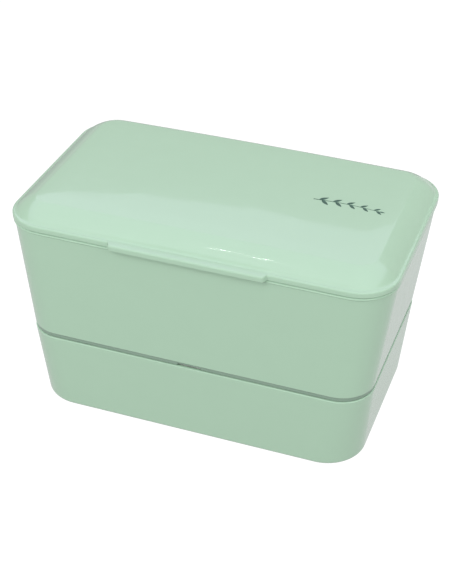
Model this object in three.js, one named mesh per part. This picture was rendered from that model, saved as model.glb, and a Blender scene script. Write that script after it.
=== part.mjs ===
// Two-tier bento lunch box: a lower box, a see-through inner lid, an upper box and a crowned outer lid,
// stacked along +Z. A silicone ring seals each lid, and a sliding divider splits each box.
// Millimetres. Origin at the centre of the underside, +X along the length, -Y towards the finger tab.
import * as THREE from "three";

// Driving dimensions. Outlines are rounded rectangles given by half length, half width and corner radius.
const LID = { x: 92.7, y: 55.2, radius: 19 };
const GAP = 0.35; // clearance between neighbouring pieces
const WALL = 2; // wall thickness of both boxes

const LOWER_BOX_TOP = 40.4;
const UPPER_BOX_BOTTOM = 42.95;
const UPPER_BOX_TOP = 100.25;
const FLANGE_BOTTOM = UPPER_BOX_TOP + GAP;
const FLANGE_TOP = 103.45;
const LIP_WIDTH = 3; // flat edge of the flange outside the dome
const SHOULDER_WIDTH = 8.3; // the dome's curved shoulder, from the lip in to the crest
const SHOULDER_RISE = 7.3; // at the middle of the lid's length
const ARCH_DROP = 1; // the crest falls this much from the middle towards the lid's ends
const CROWN_RISE = 0.4; // from the crest to the middle of the lid
const LID_THICKNESS = 2.2;

// The walls' outer faces: the boxes narrow towards the foot, more in length than in width
const FOOT = { x: 82.1, y: 51.3, radius: 19.7 };
const WAIST = { x: 85.4, y: 52.9, radius: 16.5 };
const BROW = { x: 92, y: 54.5, radius: 18.6 };

const TAB_REACH = 2.7; // how far the finger tab stands out from the lid's front edge
const TAB_HALF_LENGTH = 38; // at the tab's root
const TAB_END_TAPER = 2; // each end slants back to the edge over this length
const NOTCH_DEPTH = 1.1; // finger notch in the inner lid's front edge
const NOTCH_HALF_LENGTH = 6;
const NOTCH_END_TAPER = 0.9;
const NOTCH_TOP = 41.7;

const DIVIDER_THICKNESS = 1.4;
const DIVIDER_FOOT_DEPTH = 12; // along the box, so that the divider stands by itself
const LOWER_DIVIDER_HEIGHT = 27;
const UPPER_DIVIDER_HEIGHT = 42;

const CORNER_STEPS = 9;
const RAMP_STEPS = 4; // points along each slanted end of the tab and the notch
const MIN_RADIUS = 3; // of an outline that is moved far inwards

const MINT = 0xaecbb5;
const PALE_MINT = 0xd3e2d6;
const SMOKE = 0x93a29b;
const MILKY = 0xe4e8e4;

// ---------------------------------------------------------------------------------------------- outlines

const lerp = THREE.MathUtils.lerp;

// How far a feature of the front edge is developed at x: 1 along its middle, 0 past its slanted ends.
function rampAt(x, halfLength, taper) {
  return 1 - THREE.MathUtils.smoothstep(Math.abs(x), halfLength - taper, halfLength);
}

// Points along the front side that draw a feature's two ends, with more where the side is long or arched.
function frontStations(halfLength, taper, extra = []) {
  const stations = [...extra];
  for (let step = 0; step <= RAMP_STEPS; step += 1) {
    const x = halfLength - taper * (step / RAMP_STEPS);
    stations.push(x, -x);
  }
  return stations.sort((a, b) => a - b);
}

const ARCH_STATIONS = [-58, -44, -28, -14, 0, 14, 28, 44, 58]; // along the lid's long sides
const TAB_EDGE = { stations: frontStations(TAB_HALF_LENGTH, TAB_END_TAPER, ARCH_STATIONS),
  backStations: ARCH_STATIONS.toReversed(), halfLength: TAB_HALF_LENGTH, taper: TAB_END_TAPER };
const NOTCH_EDGE = { stations: frontStations(NOTCH_HALF_LENGTH, NOTCH_END_TAPER), backStations: [],
  halfLength: NOTCH_HALF_LENGTH, taper: NOTCH_END_TAPER };

function inset(outline, by) {
  return { x: outline.x - by, y: outline.y - by, radius: Math.max(outline.radius - by, MIN_RADIUS) };
}

// An outline at height z, anticlockwise seen from above. reach moves the part of the front side under
// frontEdge outwards (inwards when negative).
function ring(outline, z, frontEdge = null, reach = 0) {
  const { x: halfX, y: halfY, radius } = outline;
  const points = [];
  const quadrants = [[1, 1], [-1, 1], [-1, -1], [1, -1]];
  quadrants.forEach(([signX, signY], quadrant) => {
    for (let step = 0; step <= CORNER_STEPS; step += 1) {
      const angle = (Math.PI / 2) * (quadrant + step / CORNER_STEPS);
      points.push([signX * (halfX - radius) + radius * Math.cos(angle),
        signY * (halfY - radius) + radius * Math.sin(angle), z]);
    }
    const atBackRight = quadrant === 0;
    if (atBackRight && frontEdge) {
      frontEdge.backStations.forEach((x) => points.push([x, halfY, z]));
    }
    const atFrontLeft = quadrant === 2;
    if (atFrontLeft && frontEdge) {
      for (const x of frontEdge.stations) {
        points.push([x, -halfY - reach * rampAt(x, frontEdge.halfLength, frontEdge.taper), z]);
      }
    }
  });
  return points;
}

// The outer lid: an outline moved in from the lid's edge.
function lidRing(by, z, tab = 0) {
  return ring(inset(LID, by), z, TAB_EDGE, tab * TAB_REACH);
}

// A ring of the dome. share says how much of the dome's arch along its length applies, and a scale below 1
// shrinks the outline towards the middle, for the crown.
function domeRing(by, z, share, scale = 1) {
  return lidRing(by, z).map(([x, y]) => [x * scale, y * scale, z - share * archDrop(x * scale)]);
}

function archDrop(x) {
  return ARCH_DROP * (x / LID.x) ** 2;
}

// ---------------------------------------------------------------------------------------------- solids

// A closed solid through rings that all have the same number of points. An open run of rings is closed by a
// flat cap at each end, the first facing down and the last facing up; a looped run closes on its first ring.
function loft(rings, looped = false) {
  const size = rings[0].length;
  const positions = rings.flat(2);
  const faces = [];
  const bands = looped ? rings.length : rings.length - 1;
  for (let band = 0; band < bands; band += 1) {
    const low = band * size;
    const high = ((band + 1) % rings.length) * size;
    for (let i = 0; i < size; i += 1) {
      const next = (i + 1) % size;
      faces.push(low + i, low + next, high + next, low + i, high + next, high + i);
    }
  }
  if (!looped) {
    const last = (rings.length - 1) * size;
    capTriangles(rings[0]).forEach(([a, b, c]) => faces.push(c, b, a));
    capTriangles(rings.at(-1)).forEach(([a, b, c]) => faces.push(last + a, last + b, last + c));
  }
  const geometry = new THREE.BufferGeometry();
  geometry.setAttribute("position", new THREE.Float32BufferAttribute(positions, 3));
  geometry.setIndex(faces);
  geometry.computeVertexNormals();
  return geometry;
}

function capTriangles(points) {
  return THREE.ShapeUtils.triangulateShape(points.map(([x, y]) => new THREE.Vector2(x, y)), []);
}

function piece(name, geometry, color, roughness, opacity = 1) {
  const material = new THREE.MeshStandardMaterial({ color, roughness, metalness: 0, opacity,
    transparent: opacity < 1 });
  const mesh = new THREE.Mesh(geometry, material);
  mesh.name = name;
  return mesh;
}

// ---------------------------------------------------------------------------------------------- boxes

// A tier's wall at height z, between its foot and its rim: the outer face, moved in by an inset.
function wallAt(tier, z, by = 0) {
  const share = (z - tier.bottom) / (tier.top - tier.bottom);
  return inset({ x: lerp(tier.foot.x, tier.rim.x, share), y: lerp(tier.foot.y, tier.rim.y, share),
    radius: lerp(tier.foot.radius, tier.rim.radius, share) }, by);
}

const LOWER = { bottom: 0, top: LOWER_BOX_TOP, foot: FOOT, rim: WAIST, footFillet: 2, recess: 0,
  floorTop: 2.4, floorFillet: 7 };
const UPPER = { bottom: UPPER_BOX_BOTTOM, top: UPPER_BOX_TOP, foot: WAIST, rim: BROW, footFillet: 0.2,
  recess: 3.1, floorTop: 48, floorFillet: 7 };
const FOOT_RIM_WIDTH = 5.2; // the upper box stands on this rim, around the recess for the inner lid's panel
const RECESS_ROUNDING = 0.6;
const RIM_ROUNDING = 0.6;
const FILLET_STEPS = 5;

function boxSolid(tier) {
  const rings = [];
  const wallRing = (by, z, at = z) => ring(wallAt(tier, at, by), z);
  if (tier.recess > 0) {
    rings.push(wallRing(FOOT_RIM_WIDTH + RECESS_ROUNDING, tier.bottom + tier.recess, tier.bottom));
    rings.push(wallRing(FOOT_RIM_WIDTH, tier.bottom + tier.recess - RECESS_ROUNDING, tier.bottom));
    rings.push(wallRing(FOOT_RIM_WIDTH, tier.bottom, tier.bottom));
  }
  for (let step = 0; step <= FILLET_STEPS; step += 1) {
    const angle = (Math.PI / 2) * (step / FILLET_STEPS);
    const z = tier.bottom + tier.footFillet * (1 - Math.cos(angle));
    rings.push(wallRing(tier.footFillet * (1 - Math.sin(angle)), z));
  }
  for (const [by, drop] of [[0, 1], [0.3, 0.3], [1, 0]]) {
    rings.push(wallRing(RIM_ROUNDING * by, tier.top - RIM_ROUNDING * drop));
  }
  for (const [by, drop] of [[1, 0], [0.3, 0.3], [0, 1]]) {
    rings.push(wallRing(WALL - RIM_ROUNDING * by, tier.top - RIM_ROUNDING * drop));
  }
  for (let step = 0; step <= FILLET_STEPS; step += 1) {
    const angle = (Math.PI / 2) * (step / FILLET_STEPS);
    const z = tier.floorTop + tier.floorFillet * (1 - Math.sin(angle));
    rings.push(wallRing(WALL + tier.floorFillet * (1 - Math.cos(angle)), z));
  }
  return loft(rings);
}

// ---------------------------------------------------------------------------------------------- lids

const SEAL_THICKNESS = 0.9;
const SEAL_GROOVE_GAP = 0.3;
const SEAL_LIP = 0.25; // the plug's lip stops this far short of the seal's outer face
const PLUG_DEPTH = 4.6; // how far a lid's plug reaches into the box below
const PLUG_LIP_HEIGHT = 1.2;
const PLUG_THICKNESS = 2; // behind the seal's groove
const EDGE_ROUNDING = 1; // top of the lid's outer edge

// A lid's plug, worked out from the box that it closes. Insets count from the box's inner wall.
function plugFor(tier, flangeBottom) {
  return {
    wall: wallAt(tier, flangeBottom - PLUG_DEPTH, WALL),
    bottom: flangeBottom - PLUG_DEPTH,
    lipTop: flangeBottom - PLUG_DEPTH + PLUG_LIP_HEIGHT,
    sealBottom: flangeBottom - PLUG_DEPTH + PLUG_LIP_HEIGHT + SEAL_GROOVE_GAP,
    sealTop: flangeBottom - GAP,
    flangeBottom,
  };
}

const SEAL_OUTER = GAP;
const SEAL_INNER = SEAL_OUTER + SEAL_THICKNESS;
const PLUG_LIP = SEAL_OUTER + SEAL_LIP;
const PLUG_GROOVE = SEAL_INNER + SEAL_GROOVE_GAP;
const PLUG_INNER = PLUG_GROOVE + PLUG_THICKNESS;
const OUTER_PLUG = plugFor(UPPER, FLANGE_BOTTOM);
const INNER_FLANGE_BOTTOM = LOWER_BOX_TOP + GAP;
const INNER_PLUG = plugFor(LOWER, INNER_FLANGE_BOTTOM);

// The plug, from its inner face under the flange, down round its bottom and up its outer face, where a
// rounded lip lies below the groove that holds the seal.
function plugRings(plug, innerTop, frontEdge) {
  const at = (by, z) => ring(inset(plug.wall, by), z, frontEdge);
  return [at(PLUG_INNER, innerTop), at(PLUG_INNER, plug.bottom + 0.4), at(PLUG_INNER - 0.4, plug.bottom),
    at(PLUG_LIP + 0.5, plug.bottom), at(PLUG_LIP, plug.bottom + 0.5), at(PLUG_LIP, plug.lipTop - 0.2),
    at(PLUG_GROOVE, plug.lipTop), at(PLUG_GROOVE, plug.flangeBottom)];
}

const SHOULDER_STEPS = 8;
const SHOULDER_SLOPES = { foot: 1.08, crest: 0.52 }; // radians, before it is fitted to its width and rise

// Shares of the shoulder's width and rise at a step along its arc.
function shoulderAt(step) {
  const { foot, crest } = SHOULDER_SLOPES;
  const slope = lerp(foot, crest, step / SHOULDER_STEPS);
  return { width: (Math.sin(foot) - Math.sin(slope)) / (Math.sin(foot) - Math.sin(crest)),
    rise: (Math.cos(slope) - Math.cos(foot)) / (Math.cos(crest) - Math.cos(foot)) };
}

function outerLidSolid() {
  const crestInset = LIP_WIDTH + SHOULDER_WIDTH;
  const crestTop = FLANGE_TOP + SHOULDER_RISE;
  const crownAt = (scale) => CROWN_RISE * (1 - scale ** 2);
  const ceiling = { inset: crestInset + 1, z: crestTop - LID_THICKNESS };
  const ceilingFoot = { inset: LID.x - OUTER_PLUG.wall.x + PLUG_INNER, z: FLANGE_BOTTOM + 1 };
  const rings = [];
  for (const scale of [0.25, 0.5, 0.75]) {
    rings.push(domeRing(ceiling.inset, ceiling.z + crownAt(scale), 1, scale));
  }
  for (let step = 0; step < FILLET_STEPS; step += 1) {
    const angle = (Math.PI / 2) * (1 - step / FILLET_STEPS);
    rings.push(domeRing(lerp(ceiling.inset, ceilingFoot.inset, Math.cos(angle)),
      lerp(ceilingFoot.z, ceiling.z, Math.sin(angle)), Math.sin(angle)));
  }
  rings.push(...plugRings(OUTER_PLUG, ceilingFoot.z, TAB_EDGE));
  rings.push(lidRing(1.2, FLANGE_BOTTOM), lidRing(0.3, FLANGE_BOTTOM, 1));
  rings.push(lidRing(0, FLANGE_BOTTOM + 0.3, 1));
  for (const [by, drop] of [[0, 1], [0.3, 0.3], [1, 0]]) {
    rings.push(lidRing(by * EDGE_ROUNDING, FLANGE_TOP - drop * EDGE_ROUNDING, 1));
  }
  rings.push(lidRing(LIP_WIDTH - 0.3, FLANGE_TOP));
  for (let step = 0; step <= SHOULDER_STEPS; step += 1) {
    const { width, rise } = shoulderAt(step);
    rings.push(domeRing(LIP_WIDTH + SHOULDER_WIDTH * width, FLANGE_TOP + SHOULDER_RISE * rise, rise));
  }
  for (const scale of [0.85, 0.7, 0.55, 0.4, 0.25, 0.1]) {
    rings.push(domeRing(crestInset, crestTop + crownAt(scale), 1, scale));
  }
  return loft(rings);
}

const INNER_FLANGE_TOP = UPPER_BOX_BOTTOM - GAP;
const INNER_FLANGE_SETBACK = 0.55; // behind the boxes' walls
const PANEL_TOP = UPPER_BOX_BOTTOM + UPPER.recess - 0.4;
const PANEL_SETBACK = FOOT_RIM_WIDTH + RECESS_ROUNDING;
const PANEL_THICKNESS = 1.4;
const PANEL_WALL = 1.5;

function innerLidSolid() {
  const at = (by, z, notch = 0) => ring(inset(WAIST, by), z, NOTCH_EDGE, -notch * NOTCH_DEPTH);
  const panelInner = PANEL_SETBACK + PANEL_WALL;
  return loft([
    at(panelInner + 1, PANEL_TOP - PANEL_THICKNESS), at(panelInner, PANEL_TOP - PANEL_THICKNESS - 1),
    at(panelInner, INNER_FLANGE_BOTTOM + 0.4),
    ...plugRings(INNER_PLUG, INNER_FLANGE_BOTTOM - 0.4, NOTCH_EDGE),
    at(INNER_FLANGE_SETBACK + 0.2, INNER_FLANGE_BOTTOM, 1),
    at(INNER_FLANGE_SETBACK, INNER_FLANGE_BOTTOM + 0.2, 1),
    at(INNER_FLANGE_SETBACK, NOTCH_TOP, 1), at(INNER_FLANGE_SETBACK, NOTCH_TOP + 0.1),
    at(INNER_FLANGE_SETBACK, INNER_FLANGE_TOP - 0.25), at(INNER_FLANGE_SETBACK + 0.25, INNER_FLANGE_TOP),
    at(PANEL_SETBACK - 0.6, INNER_FLANGE_TOP), at(PANEL_SETBACK, INNER_FLANGE_TOP + 0.6),
    at(PANEL_SETBACK, PANEL_TOP - 0.9), at(PANEL_SETBACK + 0.3, PANEL_TOP - 0.3),
    at(PANEL_SETBACK + 0.9, PANEL_TOP),
  ]);
}

// A silicone ring with a rounded bead on its outer face, lying in a plug's groove.
function sealSolid(plug) {
  const at = (by, z) => ring(inset(plug.wall, by), z);
  const height = plug.sealTop - plug.sealBottom;
  const edge = SEAL_OUTER + 0.35;
  return loft([
    at(SEAL_INNER, plug.sealTop), at(SEAL_INNER, plug.sealBottom), at(edge, plug.sealBottom),
    at(SEAL_OUTER, plug.sealBottom + height * 0.35), at(SEAL_OUTER, plug.sealBottom + height * 0.65),
    at(edge, plug.sealTop),
  ], true);
}

// ---------------------------------------------------------------------------------------------- dividers

const WING_LENGTH = 9; // along the box, where the divider's end turns to lie along the wall
const WING_THICKNESS = 1.2;
const FOOT_THICKNESS = 1.2;

// An upright web across the box with a wing at each end, seen from above as a letter I, on a flat foot. The
// ends follow the walls' draft, and the foot stays clear of the floor's rounded edge.
function dividerSolid(tier, height) {
  const bottom = tier.floorTop + GAP;
  const halfAt = (z) => wallAt(tier, z, WALL).y - GAP;
  const web = DIVIDER_THICKNESS / 2;
  const wing = WING_LENGTH / 2;
  const outlineAt = (z, halfY, wingX, stem = web) => {
    const quarter = [[wingX, halfY], [-wingX, halfY], [-wingX, halfY - WING_THICKNESS],
      [-stem, halfY - WING_THICKNESS - 0.4]];
    const half = quarter.concat(quarter.toReversed().map(([x, y]) => [x, -y]));
    return half.concat(half.map(([x, y]) => [-x, -y]).slice(2, -2)).map(([x, y]) => [x, y, z]);
  };
  const footHalf = halfAt(bottom) - tier.floorFillet + 0.6;
  const footX = DIVIDER_FOOT_DEPTH / 2;
  const wide = footX - 0.1;
  const filletTop = tier.floorTop + tier.floorFillet;
  const rings = [
    outlineAt(bottom, footHalf, footX, wide), outlineAt(bottom + FOOT_THICKNESS, footHalf, footX, wide),
    outlineAt(bottom + FOOT_THICKNESS + 0.1, footHalf + 0.4, wing),
  ];
  for (let step = 1; step <= FILLET_STEPS; step += 1) {
    const angle = (Math.PI / 2) * (step / FILLET_STEPS);
    const rise = tier.floorFillet * (1 - Math.cos(angle));
    const z = bottom + FOOT_THICKNESS + 0.1 + rise;
    const besideFillet = footHalf - 0.6 + tier.floorFillet * Math.sin(angle);
    rings.push(outlineAt(z, Math.min(halfAt(filletTop), besideFillet), wing));
  }
  const top = bottom + height;
  rings.push(outlineAt(top - 1, halfAt(top), wing));
  rings.push(outlineAt(top - 0.3, halfAt(top) - 0.2, wing - 0.2, web - 0.1));
  rings.push(outlineAt(top, halfAt(top) - 0.6, wing - 0.6, web - 0.35));
  return loft(rings);
}

// ---------------------------------------------------------------------------------------------- assembly

const bentoBox = new THREE.Group();
bentoBox.add(
  piece("lower_box", boxSolid(LOWER), MINT, 0.28),
  piece("lower_divider", dividerSolid(LOWER, LOWER_DIVIDER_HEIGHT), PALE_MINT, 0.4),
  piece("inner_lid", innerLidSolid(), SMOKE, 0.15, 0.6),
  piece("inner_lid_seal", sealSolid(INNER_PLUG), MILKY, 0.6),
  piece("upper_box", boxSolid(UPPER), MINT, 0.28),
  piece("upper_divider", dividerSolid(UPPER, UPPER_DIVIDER_HEIGHT), PALE_MINT, 0.4),
  piece("outer_lid", outerLidSolid(), MINT, 0.22),
  piece("outer_lid_seal", sealSolid(OUTER_PLUG), MILKY, 0.6),
);

export default bentoBox;
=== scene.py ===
"""Two-tier mint bento lunch box: fine mouldings, materials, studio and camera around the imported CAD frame."""
import math

import bmesh
import bpy
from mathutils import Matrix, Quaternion, Vector


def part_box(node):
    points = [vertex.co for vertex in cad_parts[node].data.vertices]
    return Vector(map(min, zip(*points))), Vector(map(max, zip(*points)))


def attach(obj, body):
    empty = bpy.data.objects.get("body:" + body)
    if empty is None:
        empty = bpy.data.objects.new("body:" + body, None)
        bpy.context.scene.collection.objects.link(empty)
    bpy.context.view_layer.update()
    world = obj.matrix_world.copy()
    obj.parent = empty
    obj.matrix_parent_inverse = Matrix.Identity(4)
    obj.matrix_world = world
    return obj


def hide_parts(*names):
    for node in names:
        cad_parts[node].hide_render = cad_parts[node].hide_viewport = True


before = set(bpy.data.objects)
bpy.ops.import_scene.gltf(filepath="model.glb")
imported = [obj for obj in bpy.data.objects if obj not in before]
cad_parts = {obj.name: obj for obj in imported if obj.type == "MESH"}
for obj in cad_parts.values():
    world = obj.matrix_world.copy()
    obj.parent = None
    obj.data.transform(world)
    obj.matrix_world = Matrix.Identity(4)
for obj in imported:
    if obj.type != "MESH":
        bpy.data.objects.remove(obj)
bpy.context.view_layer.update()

MM = 0.001


# ------------------------------------------------------------------------------------------------ measures
# Millimetres, from here to the materials
def box_mm(node):
    """Lowest and highest corner of a CAD node, in millimetres."""
    low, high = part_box(node)
    return [c / MM for c in low], [c / MM for c in high]


LID_LOW, LID_HIGH = box_mm("outer_lid")
UPPER_LOW, UPPER_HIGH = box_mm("upper_box")
LOWER_HIGH = box_mm("lower_box")[1]
INNER_LOW, INNER_HIGH = box_mm("inner_lid")
OUTER_SEAL_LOW, OUTER_SEAL_HIGH = box_mm("outer_lid_seal")
INNER_SEAL_LOW, INNER_SEAL_HIGH = box_mm("inner_lid_seal")

# Outlines are rounded rectangles: half length, half width, corner radius
LID = (LID_HIGH[0], LID_HIGH[1], 19.0)
FOOT = (82.1, 51.3, 19.7)
WAIST = (85.4, 52.9, 16.5)
BROW = (92.0, 54.5, 18.6)
MIN_RADIUS = 3.0
GAP = 0.35
WALL = 2.0

# Steps along each corner, along the back, at each end of a front feature and between those ends
CORNER_STEPS = 26
SIDE_STEPS = 22
END_STEPS = 10
MIDDLE_STEPS = 12
# How far the steps at a front feature's end reach past its slant, on either side
END_MARGIN = 0.3


def lerp(a, b, t):
    return a + (b - a) * t


def smoothstep(t):
    t = min(max(t, 0.0), 1.0)
    return t * t * (3 - 2 * t)


def arc(start, end, steps):
    """Angles from start to end, both in degrees, in radians."""
    return [math.radians(lerp(start, end, i / steps)) for i in range(steps + 1)]


def rounding(radius, start, end, steps):
    """A rounded edge as distances inside its two sides, from angle start to end in degrees."""
    for angle in arc(start, end, steps):
        yield radius * (1 - math.cos(angle)), radius * (1 - math.sin(angle))


# ------------------------------------------------------------------------------------------------ outlines
class FrontEdge:
    """A feature of the middle of the front side: full along its middle, gone past its slanted ends."""

    def __init__(self, half_length, taper, reach):
        self.half_length, self.taper, self.reach = half_length, taper, reach
        step = (taper + 2 * END_MARGIN) / END_STEPS
        ends = [half_length + END_MARGIN - step * i for i in range(END_STEPS + 1)]
        middle = [ends[-1] * (1 - 2 * i / MIDDLE_STEPS) for i in range(1, MIDDLE_STEPS)]
        self.stations = sorted([-x for x in ends] + middle + ends)

    def at(self, x):
        return self.reach * (1 - smoothstep((abs(x) - self.half_length + self.taper) / self.taper))


NOTCH_DEPTH = 1.1
NOTCH_TOP = 41.7
TAB = FrontEdge(half_length=38.0, taper=1.8, reach=-LID_LOW[1] - LID_HIGH[1])
NOTCH = FrontEdge(half_length=6.0, taper=0.9, reach=-NOTCH_DEPTH)
PLAIN = FrontEdge(half_length=22.0, taper=10.0, reach=0.0)


def inset(outline, by):
    return outline[0] - by, outline[1] - by, max(outline[2] - by, MIN_RADIUS)


def ring(outline, z, edge=PLAIN, share=0.0):
    """An outline at height z, anticlockwise seen from above, with the front edge's feature drawn by share."""
    half_x, half_y, radius = outline
    points = []
    for quadrant, (sx, sy) in enumerate(((1, 1), (-1, 1), (-1, -1), (1, -1))):
        for step in range(CORNER_STEPS + 1):
            angle = math.pi / 2 * (quadrant + step / CORNER_STEPS)
            points.append((sx * (half_x - radius) + radius * math.cos(angle),
                           sy * (half_y - radius) + radius * math.sin(angle), z))
        if quadrant == 0:
            run = half_x - radius
            points += [(run * (1 - 2 * i / SIDE_STEPS), half_y, z) for i in range(1, SIDE_STEPS)]
        if quadrant == 2:
            points += [(x, -half_y - share * edge.at(x), z) for x in edge.stations]
    return points


# ------------------------------------------------------------------------------------------------ meshes
MERGE_DISTANCE = 1e-7
CREASE_ANGLE = 34
DIVIDER_CREASE_ANGLE = 30


def loft(name, rings, looped=False):
    """A closed solid through rings with the same number of points, as an object in metres."""
    size = len(rings[0])
    mesh = bpy.data.meshes.new(name)
    vertices = [(x * MM, y * MM, z * MM) for points in rings for x, y, z in points]
    faces = []
    for band in range(len(rings) if looped else len(rings) - 1):
        low, high = band * size, (band + 1) % len(rings) * size
        faces += [(low + i, low + (i + 1) % size, high + (i + 1) % size, high + i) for i in range(size)]
    if not looped:
        last = (len(rings) - 1) * size
        faces += [tuple(reversed(range(size))), tuple(range(last, last + size))]
    mesh.from_pydata(vertices, [], faces)
    mesh.update()
    return finish_piece(name, mesh)


def finish_piece(name, mesh, crease_angle=CREASE_ANGLE):
    """A smooth-shaded object of a mesh, creased where its faces meet at more than crease_angle degrees."""
    bm = bmesh.new()
    bm.from_mesh(mesh)
    bmesh.ops.remove_doubles(bm, verts=bm.verts, dist=MERGE_DISTANCE)
    bmesh.ops.recalc_face_normals(bm, faces=bm.faces)
    bm.to_mesh(mesh)
    bm.free()
    mesh.shade_smooth()
    mesh.set_sharp_from_angle(angle=math.radians(crease_angle))
    piece = bpy.data.objects.new(name, mesh)
    bpy.context.scene.collection.objects.link(piece)
    weighted = piece.modifiers.new("Weighted normals", "WEIGHTED_NORMAL")
    weighted.keep_sharp = True
    return piece


# ------------------------------------------------------------------------------------------------ boxes
BEAD_HEIGHT = 1.5
FLOOR_FILLET = 7.0
RECESS_INSET = 5.2
RECESS_FILLET = 0.6
FOOT_RING_ROUNDING = 0.3
FLAT_SHARES = (0.12, 0.35, 0.6, 0.82)
WALL_SHARES = (0.25, 0.5, 0.75)


class Tier:
    """A box's walls and floor. recess is the hollow under it, and bead a fine rib round its rim."""

    def __init__(self, bottom, top, foot, rim, floor_top, recess, foot_fillet, rim_rounding, bead=0.0):
        self.bottom, self.top, self.foot, self.rim = bottom, top, foot, rim
        self.floor_top, self.recess = floor_top, recess
        self.foot_fillet, self.rim_rounding, self.bead = foot_fillet, rim_rounding, bead

    def wall(self, z, by=0.0):
        """The outline at height z, set in from the outer face."""
        share = (z - self.bottom) / (self.top - self.bottom)
        return inset([lerp(a, b, share) for a, b in zip(self.foot, self.rim)], by)


LOWER = Tier(0.0, LOWER_HIGH[2], FOOT, WAIST, floor_top=2.4, recess=0.8, foot_fillet=2.0, rim_rounding=0.6)
UPPER = Tier(UPPER_LOW[2], UPPER_HIGH[2], WAIST, BROW, floor_top=48.0, recess=3.1, foot_fillet=0.2,
             rim_rounding=0.9, bead=0.65)


def flat_rings(outline, z, edge=PLAIN):
    """Rings that fill a flat face inside an outline, innermost first."""
    return [[(x * share, y * share, z) for x, y, z in ring(outline, z, edge)] for share in FLAT_SHARES]


def box_shell(name, tier):
    rings = []

    def add(by, z, at=None):
        rings.append(ring(tier.wall(z if at is None else at, by), z))

    ceiling = tier.bottom + tier.recess
    rings += flat_rings(inset(tier.foot, RECESS_INSET + RECESS_FILLET), ceiling)
    for across, up in rounding(RECESS_FILLET, 90, 0, 5):
        add(RECESS_INSET + across, ceiling - up, tier.bottom)
    for across, up in rounding(FOOT_RING_ROUNDING, 0, 90, 4):
        add(RECESS_INSET - across, tier.bottom + up, tier.bottom)
    for up, across in rounding(tier.foot_fillet, 0, 90, 8):
        add(across, tier.bottom + up)
    for share in WALL_SHARES:
        add(0, lerp(tier.bottom, tier.top, share))
    if tier.bead:
        add(0, tier.top - BEAD_HEIGHT)
        add(-tier.bead, tier.top - BEAD_HEIGHT + tier.bead)
    for across, down in rounding(tier.rim_rounding, 0, 90, 6):
        add(across - tier.bead, tier.top - down)
    for across, down in rounding(tier.rim_rounding, 90, 0, 6):
        add(WALL - across, tier.top - down)
    for across, up in rounding(FLOOR_FILLET, 0, 90, 10):
        add(WALL + across, tier.floor_top + up)
    rings += reversed(flat_rings(tier.wall(tier.floor_top, WALL + FLOOR_FILLET), tier.floor_top))
    return loft(name, rings)


# ------------------------------------------------------------------------------------------------ plugs
class Plug:
    """What a lid pushes into the box below. Insets count from the box's inner wall."""
    seal_thickness, seal_clearance = 0.9, 0.3
    lip_setback, lip_height = 0.25, 1.2
    lip_bevel, lip_bevel_height = 0.15, 0.2
    foot_rounding = 0.5
    seal_outer, seal_inner = GAP, GAP + seal_thickness
    lip = seal_outer + lip_setback
    groove = seal_inner + seal_clearance
    inner = groove + WALL

    def __init__(self, tier, bottom, flange_bottom, seal_low, seal_high, edge):
        self.wall, self.bottom, self.flange_bottom = tier.wall(bottom, WALL), bottom, flange_bottom
        self.seal_low, self.seal_high, self.edge = seal_low, seal_high, edge

    def at(self, by, z):
        return ring(inset(self.wall, by), z, self.edge)

    def rings(self, inner_top):
        """From the inner face under the flange, round the bottom and up past the seal's groove."""
        out = [self.at(self.inner, inner_top), self.at(self.inner, self.bottom + self.foot_rounding)]
        for across, up in rounding(self.foot_rounding, 0, 90, 3):
            out.append(self.at(self.inner - across, self.bottom + up))
        for across, up in rounding(self.foot_rounding, 90, 0, 4):
            out.append(self.at(self.lip + across, self.bottom + up))
        lip_top = self.bottom + self.lip_height
        out.append(self.at(self.lip, lip_top - self.lip_bevel_height))
        out.append(self.at(self.lip + self.lip_bevel, lip_top))
        out.append(self.at(self.groove, lip_top))
        out.append(self.at(self.groove, self.flange_bottom))
        return out


# ------------------------------------------------------------------------------------------------ outer lid
FLANGE_BOTTOM = UPPER_HIGH[2] + GAP
FLANGE_TOP = 103.45
FLANGE_SETBACK = 1.2
FLANGE_FOOT_ROUNDING = 0.3
EDGE_ROUNDING = 1.0
LIP_WIDTH = 1.7
LIP_FILLET, LIP_FILLET_END, LIP_FILLET_RISE = 0.6, 0.15, 0.05
SHOULDER_WIDTH = 9.6
SHOULDER_RISE = 7.3
SHOULDER_STEPS = 18
FOOT_SLOPE, CREST_SLOPE = 1.08, 0.52
CREST_INSET = LIP_WIDTH + SHOULDER_WIDTH
CREST_TOP = FLANGE_TOP + SHOULDER_RISE
ARCH_DROP = 1.0
SOFT_EDGE = 10.0
SOFT_RISE = 0.28
CROWN_RISE = 0.1
LID_THICKNESS = 2.2
CEILING_MARGIN = 1.0
CEILING_FOOT = FLANGE_BOTTOM + 1.0
CEILING_ARC_END = 9
CEILING_SHARES = (0.04, 0.15, 0.3, 0.45, 0.6, 0.75, 0.88)
CROWN_SHARES = (0.992, 0.98, 0.965, 0.945, 0.92, 0.89, 0.855, 0.815, 0.77,
                0.7, 0.6, 0.5, 0.4, 0.3, 0.2, 0.1, 0.03)
OUTER_PLUG = Plug(UPPER, LID_LOW[2], FLANGE_BOTTOM, OUTER_SEAL_LOW[2], OUTER_SEAL_HIGH[2], TAB)


def arch_drop(x):
    """How far the crest line falls towards the lid's ends."""
    return ARCH_DROP * (x / LID[0]) ** 2


def crown_z(x, y):
    """Height of the lid's crown above its crest line: it curves in quickly and then lies almost flat."""
    half_x, half_y = LID[0] - CREST_INSET, LID[1] - CREST_INSET
    soft = 1.0
    for reach in (half_x - abs(x), half_y - abs(y)):
        soft *= 1 - (1 - min(max(reach / SOFT_EDGE, 0.0), 1.0)) ** 2
    bulge = max(1 - (x / half_x) ** 2, 0) * max(1 - (y / half_y) ** 2, 0)
    return SOFT_RISE * soft + CROWN_RISE * bulge


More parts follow.
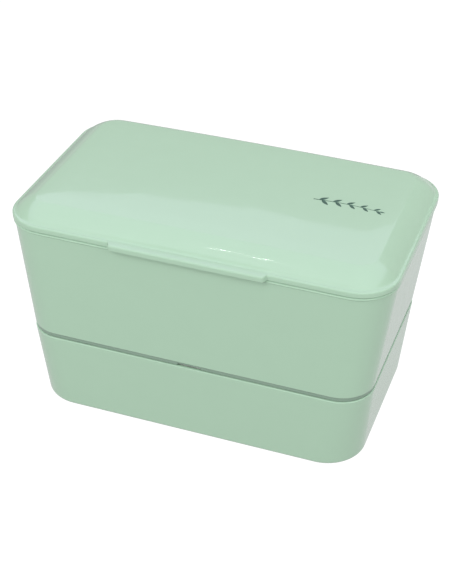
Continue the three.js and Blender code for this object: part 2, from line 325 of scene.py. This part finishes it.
def lid_ring(by, z, tab=0.0, arch=0.0, scale=1.0, crown=False):
    """The lid's outline set in, with shares of its tab and arch, shrunk by scale, on its crown if asked."""
    out = []
    for full_x, full_y, level in ring(inset(LID, by), z, TAB, tab):
        x, y = full_x * scale, full_y * scale
        out.append((x, y, level - arch * arch_drop(x) + (crown_z(x, y) if crown else 0.0)))
    return out


def shoulder():
    """Shares of the shoulder's width and rise along its arc, above its foot."""
    for i in range(1, SHOULDER_STEPS + 1):
        slope = lerp(FOOT_SLOPE, CREST_SLOPE, i / SHOULDER_STEPS)
        yield ((math.sin(FOOT_SLOPE) - math.sin(slope)) / (math.sin(FOOT_SLOPE) - math.sin(CREST_SLOPE)),
               (math.cos(slope) - math.cos(FOOT_SLOPE)) / (math.cos(CREST_SLOPE) - math.cos(FOOT_SLOPE)))


def outer_lid_shell():
    rings = []
    plug_inset = LID[0] - OUTER_PLUG.wall[0] + OUTER_PLUG.inner
    ceiling_inset, ceiling_z = CREST_INSET + CEILING_MARGIN, CREST_TOP - LID_THICKNESS
    for scale in CEILING_SHARES:
        rings.append(lid_ring(ceiling_inset, ceiling_z, arch=1, scale=scale, crown=True))
    for angle in arc(90, CEILING_ARC_END, 9):
        rings.append(lid_ring(lerp(ceiling_inset, plug_inset, math.cos(angle)),
                              lerp(CEILING_FOOT, ceiling_z, math.sin(angle)), arch=math.sin(angle)))
    rings += OUTER_PLUG.rings(CEILING_FOOT)
    rings.append(lid_ring(FLANGE_SETBACK, FLANGE_BOTTOM))
    for across, up in rounding(FLANGE_FOOT_ROUNDING, 90, 0, 4):
        rings.append(lid_ring(across, FLANGE_BOTTOM + up, tab=1))
    for across, down in rounding(EDGE_ROUNDING, 0, 90, 7):
        rings.append(lid_ring(across, FLANGE_TOP - down, tab=1))
    rings.append(lid_ring(LIP_WIDTH - LIP_FILLET, FLANGE_TOP))
    rings.append(lid_ring(LIP_WIDTH - LIP_FILLET_END, FLANGE_TOP + LIP_FILLET_RISE))
    for width, rise in shoulder():
        by, z = LIP_WIDTH + SHOULDER_WIDTH * width, FLANGE_TOP + SHOULDER_RISE * rise
        rings.append(lid_ring(by, z, arch=rise))
    for scale in CROWN_SHARES:
        rings.append(lid_ring(CREST_INSET, CREST_TOP, arch=1, scale=scale, crown=True))
    return loft("outer_lid_shell", rings)


# ------------------------------------------------------------------------------------------------ inner lid
INNER_FLANGE_BOTTOM = LOWER_HIGH[2] + GAP
INNER_FLANGE_TOP = UPPER_LOW[2] - GAP
INNER_FLANGE_BEVEL = 0.2
INNER_FLANGE_ROUNDING = 0.25
INNER_SETBACK = WAIST[0] - INNER_HIGH[0]
NOTCH_STEP = 0.1
PANEL_TOP = INNER_HIGH[2]
PANEL_SETBACK = 5.8
PANEL_WALL = 1.5
PANEL_THICKNESS = 1.4
PANEL_ROUNDING = 0.9
PANEL_FOOT_FILLET = 0.6
PANEL_INNER_FILLET = 1
PLUG_STEP = 0.4
INNER_PLUG = Plug(LOWER, INNER_LOW[2], INNER_FLANGE_BOTTOM, INNER_SEAL_LOW[2], INNER_SEAL_HIGH[2], NOTCH)


def inner_lid_shell():
    rings = []

    def add(by, z, notch=0.0):
        rings.append(ring(inset(WAIST, by), z, NOTCH, notch))

    panel_inner = PANEL_SETBACK + PANEL_WALL
    panel_bottom = PANEL_TOP - PANEL_THICKNESS
    rings += flat_rings(inset(WAIST, panel_inner + PANEL_INNER_FILLET), panel_bottom, NOTCH)
    for across, down in rounding(PANEL_INNER_FILLET, 90, 0, 5):
        add(panel_inner + across, panel_bottom - down)
    add(panel_inner, INNER_FLANGE_BOTTOM + PLUG_STEP)
    rings += INNER_PLUG.rings(INNER_FLANGE_BOTTOM - PLUG_STEP)
    add(INNER_SETBACK + INNER_FLANGE_BEVEL, INNER_FLANGE_BOTTOM, 1)
    add(INNER_SETBACK, INNER_FLANGE_BOTTOM + INNER_FLANGE_BEVEL, 1)
    add(INNER_SETBACK, NOTCH_TOP, 1)
    add(INNER_SETBACK, NOTCH_TOP + NOTCH_STEP)
    for across, down in rounding(INNER_FLANGE_ROUNDING, 0, 90, 4):
        add(INNER_SETBACK + across, INNER_FLANGE_TOP - down)
    for across, up in rounding(PANEL_FOOT_FILLET, 90, 0, 4):
        add(PANEL_SETBACK - across, INNER_FLANGE_TOP + up)
    for across, down in rounding(PANEL_ROUNDING, 0, 90, 5):
        add(PANEL_SETBACK + across, PANEL_TOP - down)
    rings += reversed(flat_rings(inset(WAIST, PANEL_SETBACK + PANEL_ROUNDING), PANEL_TOP, NOTCH))
    return loft("inner_lid_shell", rings)


# ------------------------------------------------------------------------------------------------ seals
SEAL_STEPS = 16
SEAL_BEVEL = 0.1
BEAD_DEPTH = 0.32
BEAD_MARGIN = 0.03
BEAD_ROUNDNESS = 0.7


def seal_ring(name, plug):
    """A silicone ring with soft beads on its outer face."""
    low, high, inner = plug.seal_low, plug.seal_high, plug.seal_inner
    profile = [(inner - SEAL_BEVEL, high), (inner, high - SEAL_BEVEL), (inner, low + SEAL_BEVEL),
               (inner - SEAL_BEVEL, low)]
    for i in range(SEAL_STEPS + 1):
        share = i / SEAL_STEPS
        valley = 1 - abs(math.sin(2 * math.pi * share)) ** BEAD_ROUNDNESS
        z = lerp(low + BEAD_MARGIN, high - BEAD_MARGIN, share)
        profile.append((plug.seal_outer + BEAD_DEPTH * valley, z))
    return loft(name, [ring(inset(plug.wall, by), z) for by, z in profile], looped=True)


# ------------------------------------------------------------------------------------------------ dividers
DIVIDER_BEVEL = 0.22
DIVIDER_BEVEL_SEGMENTS = 3


def divider_panel(name, node):
    """The CAD divider with softly rounded edges."""
    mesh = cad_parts[node].data.copy()
    mesh.name = name
    mesh.materials.clear()
    piece = finish_piece(name, mesh, DIVIDER_CREASE_ANGLE)
    bevel = piece.modifiers.new("Rounded edges", "BEVEL")
    bevel.width = DIVIDER_BEVEL * MM
    bevel.segments = DIVIDER_BEVEL_SEGMENTS
    bevel.limit_method = "ANGLE"
    bevel.angle_limit = math.radians(DIVIDER_CREASE_ANGLE)
    bevel.harden_normals = False
    # The bevel comes before the weighted normals
    piece.modifiers.move(len(piece.modifiers) - 1, 0)
    return piece


# ------------------------------------------------------------------------------------------ printed sprig
SPRIG_START, SPRIG_END, SPRIG_Y = 42.5, 72.5, 2.6
INK_RAISE, INK_DEPTH = 0.03, 0.1
# The stem's tail before its first leaf, its sway and the part of a half wave that it follows
STEM_TAIL = 1.5
STEM_SWAY = 0.55
SWAY_START, SWAY_SPAN = -0.2, 1.4
STEM_BASE, STEM_TIP = 0.24, 0.1
STEM_STEPS = 16
LEAF_PAIRS = 5
FIRST_PAIR, LAST_PAIR = SPRIG_START + 1, SPRIG_END - 3
PAIR_STAGGER = 1.3
TIP_OVERLAP = 0.4
FIRST_LEAF, LAST_LEAF, TIP_LEAF = 5.2, 3.8, 2.8
LEAF_LEAN = math.radians(40)
LEAF_HALF_WIDTH = 0.17
LEAF_WIDEST = 0.85
LEAF_STEPS = 7


def lid_top(x, y):
    return CREST_TOP - arch_drop(x) + crown_z(x, y)


def stem_y(x):
    share = (x - SPRIG_START) / (SPRIG_END - SPRIG_START)
    return SPRIG_Y + STEM_SWAY * math.sin(math.pi * (share * SWAY_SPAN + SWAY_START))


def leaf_outline(x, side, length):
    """A pointed leaf that grows from the stem at x, leaning towards the sprig's tip."""
    lean = LEAF_LEAN * side
    along, across = (math.cos(lean), math.sin(lean)), (-math.sin(lean), math.cos(lean))
    outline = []
    for edge in (1, -1):
        for i in range(LEAF_STEPS):
            share = i / LEAF_STEPS if edge == 1 else 1 - i / LEAF_STEPS
            half = edge * LEAF_HALF_WIDTH * length * math.sin(math.pi * share ** LEAF_WIDEST)
            outline.append((x + along[0] * length * share + across[0] * half,
                            stem_y(x) + along[1] * length * share + across[1] * half))
    return outline


def stem_outline():
    outline = []
    for edge in (1, -1):
        for i in range(STEM_STEPS + 1):
            x = lerp(SPRIG_START - STEM_TAIL, SPRIG_END, i / STEM_STEPS if edge == 1 else 1 - i / STEM_STEPS)
            half = lerp(STEM_BASE, STEM_TIP, (x - SPRIG_START) / (SPRIG_END - SPRIG_START))
            outline.append((x, stem_y(x) - edge * half))
    return outline


def sprig_outlines():
    """The stem, its pairs of leaves and the leaf at its tip."""
    outlines = [stem_outline()]
    for pair in range(LEAF_PAIRS):
        x = lerp(FIRST_PAIR, LAST_PAIR, pair / (LEAF_PAIRS - 1))
        length = lerp(FIRST_LEAF, LAST_LEAF, pair / (LEAF_PAIRS - 1))
        outlines += [leaf_outline(x, 1, length), leaf_outline(x + PAIR_STAGGER, -1, length)]
    return outlines + [leaf_outline(SPRIG_END - TIP_OVERLAP, 0, TIP_LEAF)]


def printed_sprig():
    """A small leaf sprig in thick ink on the lid's crown, one flat solid for the stem and for each leaf."""
    bm = bmesh.new()
    for outline in sprig_outlines():
        low = [bm.verts.new((x * MM, y * MM, (lid_top(x, y) - INK_DEPTH) * MM)) for x, y in outline]
        high = [bm.verts.new((x * MM, y * MM, (lid_top(x, y) + INK_RAISE) * MM)) for x, y in outline]
        bm.faces.new(list(reversed(low)))
        bm.faces.new(high)
        for i in range(len(outline)):
            after = (i + 1) % len(outline)
            bm.faces.new((low[i], low[after], high[after], high[i]))
    bmesh.ops.recalc_face_normals(bm, faces=bm.faces)
    mesh = bpy.data.meshes.new("lid_print")
    bm.to_mesh(mesh)
    bm.free()
    piece = bpy.data.objects.new("lid_print", mesh)
    bpy.context.scene.collection.objects.link(piece)
    return piece


# ------------------------------------------------------------------------------------------------ materials
# Noise stays mostly between these values
NOISE_LOW, NOISE_HIGH = 0.3, 0.7
NOISE_ROUGHNESS = 0.55
GLOSS_DETAIL, COLOUR_DETAIL = 4, 5


def socket(node, name, value):
    node.inputs[name].default_value = value


class Material:
    """A Principled material with uneven pigment, gloss and surface, all from noise in object coordinates."""

    def __init__(self, name, colour, roughness, coat=0.0, coat_roughness=0.05, ior=1.5, transmission=0.0,
                 specular=0.5):
        self.material = bpy.data.materials.new(name)
        self.material.use_nodes = True
        self.tree = self.material.node_tree
        self.bsdf = self.tree.nodes["Principled BSDF"]
        self.colour = colour
        socket(self.bsdf, "Base Color", (*colour, 1))
        socket(self.bsdf, "Roughness", roughness)
        socket(self.bsdf, "IOR", ior)
        socket(self.bsdf, "Specular IOR Level", specular)
        socket(self.bsdf, "Coat Weight", coat)
        socket(self.bsdf, "Coat Roughness", coat_roughness)
        socket(self.bsdf, "Transmission Weight", transmission)
        self.coordinates = self.tree.nodes.new("ShaderNodeTexCoord").outputs["Object"]
        self.normal = None

    def noise(self, size_mm, detail):
        node = self.tree.nodes.new("ShaderNodeTexNoise")
        socket(node, "Scale", 1 / (size_mm * MM))
        socket(node, "Detail", detail)
        socket(node, "Roughness", NOISE_ROUGHNESS)
        self.tree.links.new(self.coordinates, node.inputs["Vector"])
        return node.outputs["Fac"]

    def ranged(self, value, low, high):
        """Noise stretched from its usual range to low and high."""
        node = self.tree.nodes.new("ShaderNodeMapRange")
        self.tree.links.new(value, node.inputs["Value"])
        socket(node, "From Min", NOISE_LOW)
        socket(node, "From Max", NOISE_HIGH)
        socket(node, "To Min", low)
        socket(node, "To Max", high)
        return node.outputs["Result"]

    def vary_roughness(self, size_mm, low, high):
        gloss = self.ranged(self.noise(size_mm, GLOSS_DETAIL), low, high)
        self.tree.links.new(gloss, self.bsdf.inputs["Roughness"])

    def vary_colour(self, size_mm, spread):
        """Slight unevenness of the pigment."""
        mix = self.tree.nodes.new("ShaderNodeMix")
        mix.data_type = "RGBA"
        self.tree.links.new(self.ranged(self.noise(size_mm, COLOUR_DETAIL), 0, 1), mix.inputs["Factor"])
        darker, lighter = [end for end in mix.inputs if end.type == "RGBA"]
        darker.default_value = (*[c * (1 - spread) for c in self.colour], 1)
        lighter.default_value = (*[min(c * (1 + spread), 1) for c in self.colour], 1)
        mixed = [end for end in mix.outputs if end.type == "RGBA"]
        self.tree.links.new(mixed[0], self.bsdf.inputs["Base Color"])

    def bump(self, size_mm, height_mm, detail=2.0):
        """Adds to the bumps that are already there."""
        node = self.tree.nodes.new("ShaderNodeBump")
        socket(node, "Strength", 1.0)
        socket(node, "Distance", height_mm * MM)
        self.tree.links.new(self.noise(size_mm, detail), node.inputs["Height"])
        if self.normal:
            self.tree.links.new(self.normal, node.inputs["Normal"])
        self.normal = node.outputs["Normal"]
        self.tree.links.new(self.normal, self.bsdf.inputs["Normal"])


MINT = (0.429, 0.624, 0.467)
SMOKE = (0.335, 0.48, 0.375)
MILKY = (0.74, 0.76, 0.73)
PALE_MINT = (0.62, 0.72, 0.64)
DARK_GREEN = (0.012, 0.075, 0.04)


def mint(name, roughness):
    material = Material(name, MINT, roughness, coat=0.55, coat_roughness=0.03, specular=0.22)
    material.vary_colour(14, 0.006)
    material.vary_roughness(5, roughness - 0.03, roughness + 0.04)
    material.bump(3.2, 0.0004, 1.0)
    material.bump(0.4, 0.00006, 1.0)
    return material.material


def smoke():
    material = Material("Smoke grey clear plastic", SMOKE, 0.12, ior=1.49, transmission=0.25)
    material.vary_colour(9, 0.02)
    material.vary_roughness(4, 0.08, 0.16)
    material.bump(2.6, 0.002, 1.0)
    return material.material


def silicone():
    material = Material("Milky silicone", MILKY, 0.55, ior=1.41)
    material.vary_colour(6, 0.02)
    material.vary_roughness(2, 0.5, 0.62)
    material.bump(0.35, 0.004)
    return material.material


def divider_plastic():
    material = Material("Pale mint fine matte plastic", PALE_MINT, 0.42)
    material.vary_colour(10, 0.012)
    material.vary_roughness(3, 0.38, 0.48)
    material.bump(0.3, 0.006)
    return material.material


def print_ink():
    material = Material("Dark green print", DARK_GREEN, 0.35)
    material.vary_colour(1.5, 0.12)
    material.vary_roughness(0.8, 0.3, 0.45)
    return material.material


# ------------------------------------------------------------------------------------------------ pieces
def dress(piece, material, slot, body, *nodes):
    """Gives a piece its finish and its body, and the CAD nodes that it stands for."""
    piece.data.materials.clear()
    piece.data.materials.append(material)
    if nodes:
        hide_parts(*nodes)
    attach(piece, body)


body_mint = mint("Mint gloss plastic", 0.18)
lid_mint = mint("Mint gloss lid plastic", 0.16)
smoke_plastic = smoke()
rubber = silicone()
pale = divider_plastic()

dress(box_shell("lower_box_shell", LOWER), body_mint, "mint_body", "lower_tier", "lower_box")
dress(box_shell("upper_box_shell", UPPER), body_mint, "mint_body", "upper_tier", "upper_box")
dress(outer_lid_shell(), lid_mint, "mint_lid", "top_lid", "outer_lid")
dress(printed_sprig(), print_ink(), "mint_lid", "top_lid")
dress(inner_lid_shell(), smoke_plastic, "smoke_lid", "middle_lid", "inner_lid")
dress(seal_ring("outer_lid_ring", OUTER_PLUG), rubber, "silicone", "top_lid", "outer_lid_seal")
dress(seal_ring("inner_lid_ring", INNER_PLUG), rubber, "silicone", "middle_lid", "inner_lid_seal")
for tier in ("upper", "lower"):
    panel = divider_panel(tier + "_divider_panel", tier + "_divider")
    dress(panel, pale, "divider", tier + "_partition", tier + "_divider")

# ------------------------------------------------------------------------------------------------ camera
# Metres, from here on
AZIMUTH, ELEVATION, ROLL = math.radians(19.46), math.radians(34.37), math.radians(0.72)
CAMERA_DISTANCE = 0.66813
CAMERA_TARGET = Vector((-0.00059, 0, 0.05))
SENSOR_WIDTH, FOCAL_LENGTH = 36, 83.27


def place_camera():
    camera = bpy.data.objects.new("Camera", bpy.data.cameras.new("Camera"))
    bpy.context.scene.collection.objects.link(camera)
    level = math.cos(ELEVATION)
    back = Vector((math.sin(AZIMUTH) * level, -math.cos(AZIMUTH) * level, math.sin(ELEVATION)))
    camera.location = CAMERA_TARGET + back * CAMERA_DISTANCE
    camera.rotation_euler = (back.to_track_quat("Z", "Y") @ Quaternion((0, 0, 1), ROLL)).to_euler()
    camera.data.sensor_width = SENSOR_WIDTH
    camera.data.lens = FOCAL_LENGTH
    bpy.context.scene.camera = camera


place_camera()

# ------------------------------------------------------------------------------------------------ studio
WHITE = (1, 1, 1)
PLANE_COLOUR, PLANE_ROUGHNESS = (0.05, 0.05, 0.05), 0.9
FLOOR_HALF, FLOOR_Z, CARD_Z = 20, -0.0004, -0.0002
CEILING_X, CEILING_Y, CEILING_Z = -0.3, 0.65, 2.0
CEILING_HALF, CEILING_FRONT, CEILING_BACK = 2.3, 1.8, 1.55
CEILING_TINT = (0.98, 1.0, 1.2)
FRONT_HALF = 1.2
WORLD_LIGHT, WORLD_MIRRORED, WORLD_SEEN = 0.48, 0.58, 1.0


def glowing_plane(name, half_x, half_y, location, mirrored, seen=None, tint=WHITE):
    """A level plane of strength mirrored in reflections, and seen by the camera at strength seen if given."""
    bm = bmesh.new()
    bmesh.ops.create_grid(bm, x_segments=1, y_segments=1, size=1)
    bmesh.ops.scale(bm, vec=(half_x, half_y, 1), verts=bm.verts)
    mesh = bpy.data.meshes.new(name)
    bm.to_mesh(mesh)
    bm.free()
    reflector = bpy.data.objects.new(name, mesh)
    bpy.context.scene.collection.objects.link(reflector)
    reflector.location = location
    reflector.visible_diffuse = False
    reflector.visible_camera = seen is not None
    material = bpy.data.materials.new(name)
    material.use_nodes = True
    tree = material.node_tree
    bsdf = tree.nodes["Principled BSDF"]
    socket(bsdf, "Base Color", (*PLANE_COLOUR, 1))
    socket(bsdf, "Roughness", PLANE_ROUGHNESS)
    socket(bsdf, "Emission Color", (*tint, 1))
    socket(bsdf, "Emission Strength", mirrored)
    if seen is not None:
        strengths = tree.nodes.new("ShaderNodeMapRange")
        socket(strengths, "To Min", mirrored)
        socket(strengths, "To Max", seen)
        path = tree.nodes.new("ShaderNodeLightPath")
        tree.links.new(path.outputs["Is Camera Ray"], strengths.inputs["Value"])
        tree.links.new(strengths.outputs["Result"], bsdf.inputs["Emission Strength"])
    mesh.materials.append(material)
    return reflector


def fade_to_back(plane, reach, front, back):
    """Lets a plane's strength change from its middle to its back edge, which is reach away."""
    tree = plane.data.materials[0].node_tree
    position = tree.nodes.new("ShaderNodeSeparateXYZ")
    tree.links.new(tree.nodes.new("ShaderNodeTexCoord").outputs["Object"], position.inputs[0])
    fade = tree.nodes.new("ShaderNodeMapRange")
    tree.links.new(position.outputs["Y"], fade.inputs["Value"])
    for name, value in (("From Min", 0.0), ("From Max", reach), ("To Min", front), ("To Max", back)):
        socket(fade, name, value)
    tree.links.new(fade.outputs["Result"], tree.nodes["Principled BSDF"].inputs["Emission Strength"])


def softbox(name, position, aim_height, size, radiance):
    """A one-sided panel of that radiance, which lights the box without showing in it."""
    light = bpy.data.lights.new(name, "AREA")
    light.shape = "RECTANGLE"
    light.size, light.size_y = size
    light.energy = radiance * math.pi * size[0] * size[1]
    holder = bpy.data.objects.new(name, light)
    bpy.context.scene.collection.objects.link(holder)
    holder.location = position
    aim = Vector((0, 0, aim_height)) - Vector(position)
    holder.rotation_euler = aim.to_track_quat("-Z", "Y").to_euler()
    holder.visible_glossy = False
    return holder


def light_world():
    """Surroundings that are white to the camera, and dimmer in reflections and as light."""
    world = bpy.data.worlds.new("Studio")
    bpy.context.scene.world = world
    world.use_nodes = True
    nodes, links = world.node_tree.nodes, world.node_tree.links
    path = nodes.new("ShaderNodeLightPath")

    def level_for(ray, level):
        """A node that adds what this kind of ray sees beyond the light's level."""
        step = nodes.new("ShaderNodeMath")
        step.operation = "MULTIPLY_ADD"
        links.new(path.outputs[ray], step.inputs[0])
        step.inputs[1].default_value = level - WORLD_LIGHT
        step.inputs[2].default_value = WORLD_LIGHT
        return step

    mirrored = level_for("Is Glossy Ray", WORLD_MIRRORED)
    seen = level_for("Is Camera Ray", WORLD_SEEN)
    links.new(mirrored.outputs[0], seen.inputs[2])
    socket(nodes["Background"], "Color", (*WHITE, 1))
    links.new(seen.outputs[0], nodes["Background"].inputs["Strength"])


glowing_plane("Floor", FLOOR_HALF, FLOOR_HALF, (0, 0, FLOOR_Z), mirrored=0.6, seen=1.0)
# The ceiling shows only in reflections: its back edge makes the brighter band along the lid's front
ceiling = glowing_plane("Ceiling reflector", CEILING_HALF, CEILING_HALF, (CEILING_X, CEILING_Y, CEILING_Z),
                        mirrored=CEILING_FRONT, tint=CEILING_TINT)
fade_to_back(ceiling, CEILING_HALF, CEILING_FRONT, CEILING_BACK)
# A dimmer strip in front of the ceiling, which the lower part of the lid's front shoulder mirrors
glowing_plane("Front reflector", CEILING_HALF, FRONT_HALF,
              (CEILING_X, CEILING_Y - CEILING_HALF - FRONT_HALF, CEILING_Z), mirrored=0.6, tint=CEILING_TINT)
# Dims the floor behind the left end, which the lid's edges mirror at a grazing angle
glowing_plane("Shade card", 0.73, 0.75, (-0.67, 0.87, CARD_Z), mirrored=0.3)

softbox("Key", (-0.35, -1.2, 1.12), 0.08, (1.0, 1.0), radiance=4.6)
softbox("Right panel", (1.44, -0.16, 0.75), 0.08, (1.0, 1.0), radiance=2.7)
softbox("Back fill", (0.3, 1.6, 0.3), 0.06, (1.4, 0.6), radiance=2.2)
softbox("Front panel", (0, -1.6, 0.15), 0.06, (1.4, 0.5), radiance=0.75)
# Two small strips that show only as glints on the lid's shoulder
for side, x, width in (("left", -0.393, 0.005), ("right", -0.32, 0.008)):
    glint = softbox("Glint " + side, (x, -0.5, 1.42), 0.1, (width, 0.08), radiance=60)
    glint.visible_glossy, glint.visible_diffuse = True, False
softbox("Back panel", (-0.55, 1.6, 1.4), 0.08, (2.0, 1.0), radiance=1.35)
light_world()

bpy.context.scene.view_settings.view_transform = "Standard"
